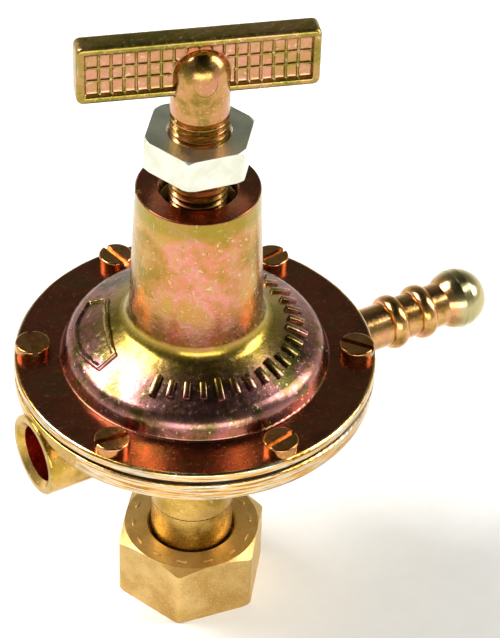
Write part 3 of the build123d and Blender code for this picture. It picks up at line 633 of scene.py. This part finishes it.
@dataclass
class Studio:
    """A pale sweep, soft boxes and the camera."""

    azimuth: float = -30.1
    elevation: float = 40.99
    distance: float = 0.4837
    pan: float = 1.142
    tilt: float = 0.689
    roll: float = 2.14
    lens: float = 153.85
    sensor: float = 36.0
    floor_size: float = 3.0
    floor_colour: str = "fdfdfb"
    floor_fibre: str = "f8f8f6"
    soft_boxes: tuple[SoftBox, ...] = (
        SoftBox("key", 168, 50, 1.0, (0.5, 0.5), 12),
        SoftBox("fill", 8, 34, 1.0, (0.4, 0.7), 8),
        SoftBox("front", -80, 12, 1.2, (1.4, 0.4), 8),
    )

    def camera(self, target: Vector) -> None:
        """Places the camera.

        Args:
            target: The point at the middle of the flanges' top that it looks past.
        """
        turn, lift = radians(self.azimuth), radians(self.elevation)
        back = Vector((sin(turn) * cos(lift), -cos(turn) * cos(lift), sin(lift)))
        right = Vector((cos(turn), sin(turn), 0))
        up = back.cross(right)
        look = (-back + right * tan(radians(self.pan)) + up * tan(radians(self.tilt))).normalized()
        side = look.cross(Vector((0, 0, 1))).normalized()
        rise = side.cross(look)
        roll = radians(self.roll)
        x_axis = side * cos(roll) + rise * sin(roll)
        y_axis = rise * cos(roll) - side * sin(roll)
        data = bpy.data.cameras.new("camera")
        data.sensor_width = self.sensor
        data.lens = self.lens
        data.clip_start = 0.01
        eye = bpy.data.objects.new("camera", data)
        bpy.context.scene.collection.objects.link(eye)
        turned = Matrix((x_axis, y_axis, -look)).transposed().to_4x4()
        eye.matrix_world = Matrix.Translation(target + back * self.distance) @ turned
        bpy.context.scene.camera = eye

    def floor(self, height: float) -> None:
        """Lays the pale floor.

        Args:
            height: Where it lies.
        """
        material, tree, shader = new_material("matt white paper")
        pattern = Pattern(tree)
        fibre = pattern.span(pattern.mottle(4.0), 0.2, 0.8)
        colour = pattern.blend(fibre, linear(self.floor_colour), linear(self.floor_fibre))
        tree.links.new(colour, shader.inputs["Base Color"])
        shader.inputs["Roughness"].default_value = 0.9
        shape = bmesh.new()
        place = Matrix.Translation((0, 0, height))
        bmesh.ops.create_grid(shape, x_segments=2, y_segments=2, size=self.floor_size / 2, matrix=place)
        mesh = bpy.data.meshes.new("floor")
        shape.to_mesh(mesh)
        shape.free()
        mesh.materials.append(material)
        sweep = bpy.data.objects.new("floor", mesh)
        bpy.context.scene.collection.objects.link(sweep)

    def hang(self, box: SoftBox, target: Vector) -> None:
        """Hangs one soft box that faces the object.

        Args:
            box: The soft box.
            target: The point that it faces.
        """
        turn, lift = radians(box.bearing + self.azimuth), radians(box.height)
        away = Vector((cos(turn) * cos(lift), sin(turn) * cos(lift), sin(lift)))
        data = bpy.data.lights.new(box.name, "AREA")
        data.shape = "RECTANGLE"
        data.size, data.size_y = box.size
        data.energy = box.power
        lamp = bpy.data.objects.new(box.name, data)
        bpy.context.scene.collection.objects.link(lamp)
        facing = away.to_track_quat("Z", "Y").to_matrix().to_4x4()
        lamp.matrix_world = Matrix.Translation(target + away * box.reach) @ facing

    def room(self) -> None:
        """Fills the room: pale where it is seen, and darker overhead where the metal mirrors it."""
        world = bpy.data.worlds.new("studio")
        bpy.context.scene.world = world
        world.use_nodes = True
        tree = world.node_tree
        tree.nodes.clear()
        direction = add_node(tree, "ShaderNodeTexCoord").outputs["Generated"]
        height = add_node(tree, "ShaderNodeSeparateXYZ", inputs={0: direction}).outputs[2]
        walls = ramp(tree, height, [(0.0, "ffffff"), (0.2, "cfcdc2"), (0.4, "7d7f72"), (0.7, "5f645a"),
                                    (0.84, "2c2c28"), (1.0, "161614")])
        seen = add_node(tree, "ShaderNodeLightPath").outputs["Is Camera Ray"]
        settings = {"data_type": "RGBA"}
        colour = add_node(tree, "ShaderNodeMix", settings, {0: seen, 6: walls, 7: (1.0, 1.0, 1.0, 1.0)}).outputs[2]
        background = add_node(tree, "ShaderNodeBackground", inputs={"Color": colour, "Strength": 1.0})
        add_node(tree, "ShaderNodeOutputWorld", inputs={"Surface": background.outputs[0]})

    def build(self, target: Vector, floor_height: float) -> None:
        """Builds the whole studio.

        Args:
            target: The point that it is arranged around.
            floor_height: Where the floor lies.
        """
        self.camera(target)
        self.floor(floor_height)
        self.room()
        for box in self.soft_boxes:
            self.hang(box, target)
        bpy.context.scene.view_settings.view_transform = "Standard"
        log.info("built the studio")


@dataclass
class Inlet:
    """The union nut with the parts that it draws onto the cylinder valve."""

    mark_radius: float = 10.9 * MM
    mark_count: int = 14
    mark_size: tuple[float, float, float] = (0.5 * MM, 1.7 * MM, 0.5 * MM)
    mark_edge: float = 0.12 * MM

    def dress(self) -> bpy.types.Material:
        """Gives the inlet's parts their finishes.

        Returns:
            The nut's brass, for the marks on it.
        """
        brass = ForgedBrass().build()
        dress(("union_nut",), brass)
        dress(("inlet_nipple",), TurnedMetal("turned brass, nipple", "c7a558", "9c7a34").build())
        dress(("inlet_filter",), TurnedMetal("stainless steel, filter", "c9c9c4", "8d8d88").build())
        return brass

    def build(self) -> None:
        """Dresses the inlet and raises a ring of plain dashes on the nut's top face."""
        brass = self.dress()
        top = height_of("union_nut")
        shape = bmesh.new()
        for number in range(self.mark_count):
            turn = Matrix.Rotation(radians(360 * number / self.mark_count), 4, "Z")
            add_bar(shape, turn @ Matrix.Translation((self.mark_radius, 0, top)), self.mark_size, self.mark_edge)
        finish_piece("union_nut_marks", shape, brass, Body.UNION_NUT)


@dataclass
class LowerBody:
    """The lower casting, its gauge port and the hose barb pressed into it."""

    port_bore: float = 10.3 * MM
    port_reach: float = 12.0 * MM
    worn_length: float = 7.0 * MM

    def build(self) -> None:
        """Dresses the casting and the barb."""
        low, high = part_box("lower_body")
        mounts = {mount["name"]: mount for mount in frame["record"]["mounts"]}
        port = mounts["gauge_port"]["pos_m"]
        finish = ChromatedCasting("zinc casting, lower body", rim_radius=high[0],
                                  film=("a8862e", "c09a44", "cda654", "c39a5c"),
                                  port=(low[0] + self.port_reach, port[2], self.port_bore / 2)).build()
        dress(("lower_body",), finish)
        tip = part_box("hose_barb")[1][0]
        barb = ChromatedSteel("turned steel, hose barb", film=("9a7436", "bd8f4e", "cf9f66", "c98f62"), along_x=True,
                              worn_from=tip - self.worn_length)
        dress(("hose_barb",), barb.build())


@dataclass
class Bonnet:
    """The upper casting: flange, bell and tower, with the marks and the pad that stand up from the bell."""

    screw_head: float = 1.9 * MM
    mark_radius: float = 17.7 * MM
    mark_count: int = 19
    mark_from: float = -142.0
    mark_to: float = 20.0
    mark_length: float = 4.2 * MM
    mark_width: float = 1.1 * MM
    mark_height: float = 0.75 * MM
    mark_edge: float = 0.2 * MM
    slope: float = 26.8
    foot_rise: float = 3.6 * MM
    foot_radius: float = 22.6 * MM
    pad_from: float = 130.0
    pad_to: float = 185.0
    pad_inner: float = 15.0 * MM
    pad_outer: float = 21.4 * MM
    pad_rise: float = 0.7 * MM
    pad_rim: float = 0.9 * MM
    band_drop: float = 28.0 * MM
    bell_rise: float = 8.0 * MM
    mouth_radius: float = 6.65 * MM
    flange_top: float = field(default=0.0, init=False)

    def bell_height(self, radius: float) -> float:
        """Finds the height of the bell's slope.

        Args:
            radius: Distance from the axis.

        Returns:
            The height in metres.
        """
        return self.flange_top + self.foot_rise + (self.foot_radius - radius) * tan(radians(self.slope))

    def on_bell(self, bearing: float, radius: float) -> Matrix:
        """Finds the frame of a place on the bell's slope.

        Args:
            bearing: Degrees round the axis from +X.
            radius: Distance from the axis.

        Returns:
            The frame: x runs down the slope, z stands out of it.
        """
        turn = Matrix.Rotation(radians(bearing), 4, "Z")
        place = Matrix.Translation((radius, 0, self.bell_height(radius)))
        lean = Matrix.Rotation(radians(self.slope), 4, "Y")
        return turn @ place @ lean

    def marks(self, finish: bpy.types.Material) -> None:
        """Raises a row of graduation marks, every fourth one longer.

        Args:
            finish: The bonnet's finish.
        """
        shape = bmesh.new()
        step = (self.mark_to - self.mark_from) / (self.mark_count - 1)
        for number in range(self.mark_count):
            place = self.on_bell(self.mark_from + number * step, self.mark_radius)
            length = self.mark_length * (1.0 if number % 4 == 0 else 0.75)
            add_bar(shape, place, (length, self.mark_width, 2 * self.mark_height), self.mark_edge)
        finish_piece("bell_graduation_marks", shape, finish, Body.CASTING)

    def pad_height(self, along: float, across: float) -> float:
        """Returns how high the pad stands at a place on it.

        Args:
            along: Distance from the nearer end of the pad.
            across: Distance from the nearer of its inner and outer edges.

        Returns:
            The height over the bell: a rounded rim round a sunken field.
        """
        inset = min(along, across)
        rise = min(inset / (0.3 * self.pad_rim), 1.0)
        fall = min(max((inset - 0.7 * self.pad_rim) / (0.3 * self.pad_rim), 0.0), 1.0)
        return self.pad_rise * (sin(rise * radians(90)) - 0.65 * fall)

    def pad(self, finish: bpy.types.Material) -> None:
        """Raises the blank pad: a rimmed plate that follows the bell round.

        Args:
            finish: The bonnet's finish.
        """
        shape = bmesh.new()
        columns, rows = 96, 32
        middle = (self.pad_inner + self.pad_outer) / 2
        arc = radians(self.pad_to - self.pad_from) * middle
        top, base = [], []
        for i in range(columns + 1):
            share = i / columns
            bearing = self.pad_from + (self.pad_to - self.pad_from) * share
            along = min(share, 1 - share) * arc
            narrow = 0.62 + 0.38 * min(along / (0.35 * arc), 1.0)
            half = (self.pad_outer - self.pad_inner) / 2 * narrow
            tops, bases = [], []
            for j in range(rows + 1):
                offset = (2 * j / rows - 1) * half
                place = self.on_bell(bearing, middle + offset)
                across = half - abs(offset)
                tops.append(shape.verts.new(place @ Vector((0, 0, self.pad_height(along, across)))))
                bases.append(shape.verts.new(place @ Vector((0, 0, -self.pad_rise))))
            top.append(tops)
            base.append(bases)
        for i in range(columns):
            for j in range(rows):
                shape.faces.new((top[i][j], top[i + 1][j], top[i + 1][j + 1], top[i][j + 1]))
                shape.faces.new((base[i][j], base[i][j + 1], base[i + 1][j + 1], base[i + 1][j]))
            for j in (0, rows):
                shape.faces.new((top[i][j], base[i][j], base[i + 1][j], top[i + 1][j]))
        for i in (0, columns):
            for j in range(rows):
                shape.faces.new((top[i][j], top[i][j + 1], base[i][j + 1], base[i][j]))
        finish_piece("bell_blank_pad", shape, finish, Body.CASTING, smooth_angle=50.0)

    def build(self) -> None:
        """Dresses the bonnet and its screws, and raises the marks and the pad."""
        self.flange_top = height_of("cover_screw_1") - self.screw_head
        top = height_of("bonnet")
        bands = (top - 1.5 * MM, top - self.band_drop)
        # The finish paints light and shade by bearing, a dark reflection on the flats and the bell, and shade in the
        # tower's mouth.
        finish = ChromatedCasting("zinc casting, bonnet", rim_radius=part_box("bonnet")[1][0], lit_bearing=-115.0,
                                  flat_heights=(self.flange_top, top), band_heights=bands,
                                  bell_top=self.flange_top + self.bell_rise, mouth_radius=self.mouth_radius).build()
        dress(("bonnet",), finish)
        screws = tuple(f"cover_screw_{number}" for number in range(1, 7))
        dress(screws, ChromatedSteel("turned steel, cover screws", film=("a5703c", "b9854a", "c98a62")).build())
        self.marks(finish)
        self.pad(finish)


@dataclass
class Handle:
    """The adjusting screw, its lock nut and the cast tee bar riveted into the screw's fork."""

    length: float = 40.4 * MM
    height: float = 10.9 * MM
    thickness: float = 4.2 * MM
    bearing: float = -19.3
    corner: float = 1.2 * MM
    edge: float = 0.7 * MM
    border: float = 1.7 * MM
    wall: float = 0.45 * MM
    recess: float = 0.85 * MM
    rib_rise: float = 0.32 * MM
    rib_half_width: float = 0.3 * MM
    columns: int = 18
    rows: int = 3
    shank_clearance: float = 5.2 * MM
    shank_shift: float = 0.55 * MM
    dome_drop: float = 1.85 * MM

    def rounding(self) -> list[tuple[float, float]]:
        """Works out the rounded edge.

        Returns:
            Pairs: how far in from the outline, and how deep under the face.
        """
        turns = [radians(15 * step) for step in range(7)]
        return [(self.edge * (1 - cos(turn)), self.edge * (1 - sin(turn))) for turn in turns]

    def cuts(self, half: float, count: int) -> list[float]:
        """Returns where the face's mesh is cut along one direction.

        Args:
            half: Half of the bar's size that way.
            count: How many cells there are that way.

        Returns:
            The places, in order, close together at the rounded edge, the recess's wall and the ribs.
        """
        insets = [inset for inset, _ in self.rounding()]
        insets += [self.border - self.wall * share for share in (1.0, 0.75, 0.5, 0.25, 0.0)]
        places = [sign * (half - inset) for inset in insets for sign in (1, -1)]
        cell = 2 * (half - self.border) / count
        for number in range(count):
            start = self.border - half + number * cell
            places += [start + cell * share for share in (0.25, 0.4, 0.5, 0.6, 0.75)]
            if number:
                places += [start + self.rib_half_width * share for share in (-1, -0.66, -0.33, 0, 0.33, 0.66, 1)]
        return sorted(places)

    def bump(self, place: float, half: float, count: int) -> float:
        """Works out how high the ribs of one direction stand at a place across them.

        Args:
            place: Distance from the bar's middle.
            half: Half of the bar's size that way.
            count: How many cells there are that way.

        Returns:
            The share of a rib's height, from 0 to 1.
        """
        cell = 2 * (half - self.border) / count
        number = round((place + half - self.border) / cell)
        if number <= 0 or number >= count:
            return 0.0
        off = abs(place + half - self.border - number * cell) / self.rib_half_width
        return cos(radians(90 * off)) if off < 1 else 0.0

    def depth(self, u: float, v: float) -> float:
        """Returns how deep the bar's face lies under its outermost plane at a place on it.

        Args:
            u: Distance along the bar from its middle.
            v: Height over its middle.

        Returns:
            The depth, with the rounded edge, the recess and the ribs in it.
        """
        half_length, half_height = self.length / 2, self.height / 2
        inset = min(half_length - abs(u), half_height - abs(v))
        if inset < self.edge:
            share = 1 - inset / self.edge
            return self.edge * (1 - (1 - share**2) ** 0.5)
        share = min(max((inset - self.border + self.wall) / self.wall, 0.0), 1.0)
        floor = self.recess * share * share * (3 - 2 * share)
        from_shank = u - self.shank_shift
        under_dome = hypot(from_shank, max(v + self.dome_drop, 0.0)) < self.shank_clearance
        if under_dome:
            return floor
        upright = self.bump(u, half_length, self.columns)
        level = self.bump(v, half_height, self.rows)
        return floor - self.rib_rise * share * max(upright, level)

    def outline(self, u: float, v: float) -> tuple[float, float]:
        """Moves a place on a square-cornered plate onto one with rounded corners.

        Args:
            u: Distance along the bar from its middle.
            v: Height over its middle.

        Returns:
            The moved place.
        """
        half_length, half_height = self.length / 2, self.height / 2
        inset = min(half_length - abs(u), half_height - abs(v))
        radius = self.corner - inset
        if radius <= 0:
            return u, v
        on_end = half_length - abs(u) <= half_height - abs(v)
        along = half_height - inset - abs(v) if on_end else half_length - inset - abs(u)
        if along >= radius:
            return u, v
        turn = radians(45 * (1 - along / radius))
        across, up = (cos(turn), sin(turn)) if on_end else (sin(turn), cos(turn))
        x = half_length - self.corner + radius * across
        z = half_height - self.corner + radius * up
        return (x if u > 0 else -x), (z if v > 0 else -z)

    def tee_bar(self, finish: bpy.types.Material, cells: bpy.types.Material) -> None:
        """Builds the tee bar: a rounded frame round a recess with a grid of raised ribs, on both faces.

        Args:
            finish: The finish of the frame and the ribs.
            cells: The finish of the sunken cells, where the film is thicker.
        """
        low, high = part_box("tee_bar")
        centre = Vector([(a + b) / 2 for a, b in zip(low, high)])
        place = Matrix.Translation(centre) @ Matrix.Rotation(radians(self.bearing), 4, "Z")
        along = self.cuts(self.length / 2, self.columns)
        up = self.cuts(self.height / 2, self.rows)
        shape = bmesh.new()
        faces = {}
        for side in (1, -1):
            for i, u in enumerate(along):
                for j, v in enumerate(up):
                    x, z = self.outline(u, v)
                    y = side * (self.thickness / 2 - self.depth(u, v))
                    faces[side, i, j] = shape.verts.new(place @ Vector((x, y, z)))
        last_i, last_j = len(along) - 1, len(up) - 1
        for i in range(last_i):
            for j in range(last_j):
                sunk = self.depth((along[i] + along[i + 1]) / 2, (up[j] + up[j + 1]) / 2) > 0.8 * self.recess
                for side in (1, -1):
                    corners = ((i, j), (i + 1, j), (i + 1, j + 1), (i, j + 1))
                    face = shape.faces.new([faces[side, a, b] for a, b in corners])
                    face.material_index = 1 if sunk else 0
            for j in (0, last_j):
                shape.faces.new((faces[1, i, j], faces[1, i + 1, j], faces[-1, i + 1, j], faces[-1, i, j]))
        for j in range(last_j):
            for i in (0, last_i):
                shape.faces.new((faces[1, i, j], faces[1, i, j + 1], faces[-1, i, j + 1], faces[-1, i, j]))
        bar = finish_piece("tee_bar_ribbed", shape, finish, Body.HANDLE, smooth_angle=50.0)
        bar.data.materials.append(cells)
        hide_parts("tee_bar")

    def build(self) -> None:
        """Dresses the screw, the rivet and the lock nut, and builds the bar."""
        bar = ChromatedCasting("zinc casting, tee bar", film=("7f7230", "94803a", "a88848", "b48c62"),
                               flank_tint_and_shade=("6c6426", "887c34"), roughness=0.28).build()
        cells = ChromatedCasting("zinc casting, cells of the bar", film=("b58a4c", "c48a68", "cc9078", "bd8a5c"),
                                 flank_tint_and_shade=("9c8a3c", "ac8c46"), roughness=0.3).build()
        self.tee_bar(bar, cells)
        dress(("adjusting_screw", "handle_rivet"), ChromatedSteel("turned steel, adjusting screw").build())
        dress(("lock_nut",), ZincPlate().build())


@dataclass
class Works:
    """What is inside: the diaphragm stack, the springs and the valve."""

    def build(self) -> None:
        """Dresses the inner parts."""
        dress(("spring_cap", "spring_plate", "backing_plate", "centre_bolt", "centre_nut"),
              ZincPlate("dull zinc plate", light="cfd0c4", dark="a3a596", roughness=0.36).build())
        dress(("valve_seat", "poppet"), TurnedMetal("turned brass", "c99a4e", "8a6228").build())
        dress(("valve_pin",), TurnedMetal("stainless steel", "c9c9c4", "8d8d88").build())
        dress(("range_spring", "poppet_spring"), TurnedMetal("oiled spring steel", "6f6f70", "3b3b3c").build())
        dress(("diaphragm", "valve_pad", "nipple_o_ring", "inlet_gasket"), MouldedRubber().build())


def main() -> None:
    """Builds each sub-assembly's looks, then the studio."""
    logging.basicConfig(level=logging.INFO, format="%(message)s")
    bonnet = Bonnet()
    for part in (Inlet(), LowerBody(), bonnet, Handle(), Works()):
        part.build()
        log.info("finished %s", type(part).__name__)
    Studio().build(Vector((0, 0, bonnet.flange_top)), height_of("union_nut", top=False))


if __name__ == "__main__":
    main()
